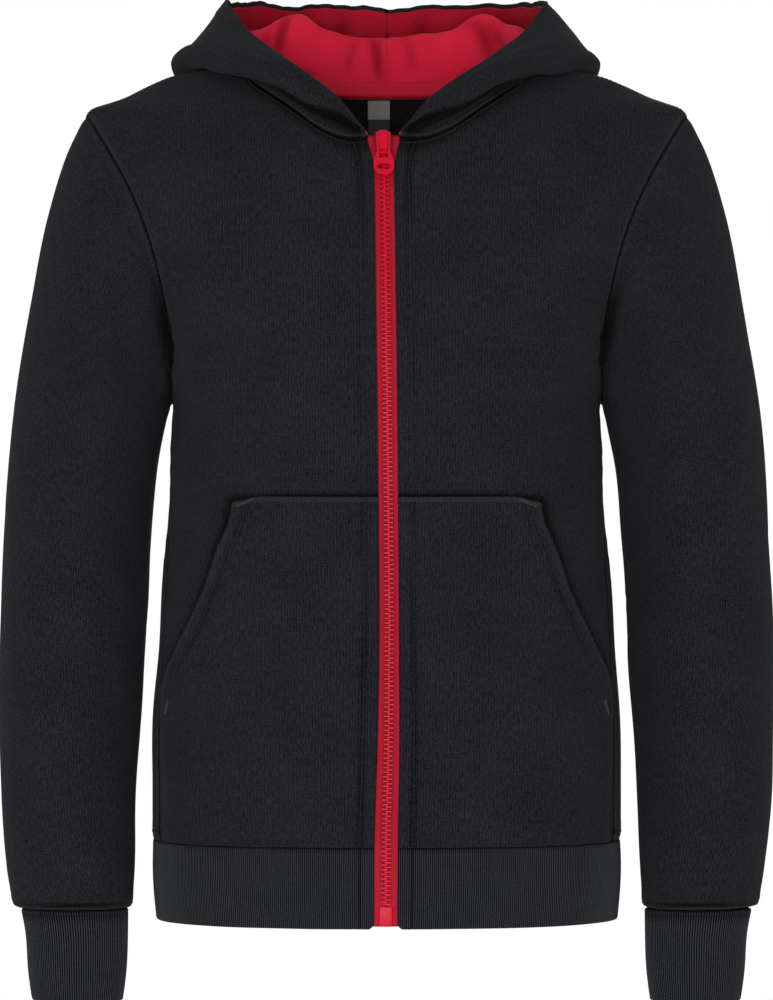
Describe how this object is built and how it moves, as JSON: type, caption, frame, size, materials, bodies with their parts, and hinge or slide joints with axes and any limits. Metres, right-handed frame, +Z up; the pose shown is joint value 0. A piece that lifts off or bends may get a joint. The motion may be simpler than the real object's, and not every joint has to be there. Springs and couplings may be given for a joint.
{
  "type": "child's zip hoodie",
  "caption": "Child's full-zip hooded sweatshirt in worn form: near-black brushed fleece, red hood lining and zip, hood down, kangaroo pocket, ribbed cuffs and waistband.",
  "frame": {"origin": "middle of the neck, level with the high points of the two shoulder seams, where the garment hangs on its wearer", "axes": "+Z up, +Y the wearer's back, so the zip faces -Y; +X the wearer's left"},
  "size_m": [0.495, 0.2428, 0.6478],
  "materials": {
    "fleece": "brushed sweatshirt knit, near-black charcoal, matt",
    "rib": "fine one-by-one rib knit, near-black charcoal",
    "lining": "smooth jersey knit, red",
    "tape": "woven tape, red",
    "zip_plastic": "moulded plastic, red, satin",
    "label_grey": "woven satin label, grey, bare",
    "label_black": "woven satin label, black, bare"
  },
  "bodies": {
    "garment": {"back": "fleece", "front_left": "fleece", "front_right": "fleece", "sleeve_left": "fleece", "sleeve_right": "fleece", "hood_left": "fleece", "hood_right": "fleece", "pocket_left": "fleece", "pocket_right": "fleece", "cuff_left": "rib", "cuff_right": "rib", "waistband": "rib", "hood_lining_left": "lining", "hood_lining_right": "lining", "neck_tape": "tape", "zip_tape_left": "tape", "zip_tape_right": "tape", "zip_chain": "zip_plastic", "zip_box": "zip_plastic", "zip_slider": "zip_plastic", "size_label": "label_grey", "care_label": "label_black"},
    "pull": {"zip_pull": "zip_plastic"}
  },
  "joints": [
    {"name": "pull_hinge", "type": "hinge", "parent": "garment", "child": "pull", "pos_m": [-0.0019, -0.07527, -0.05666], "axis": [-1, 0, 0], "range_deg": [0, 140]}
  ]
}
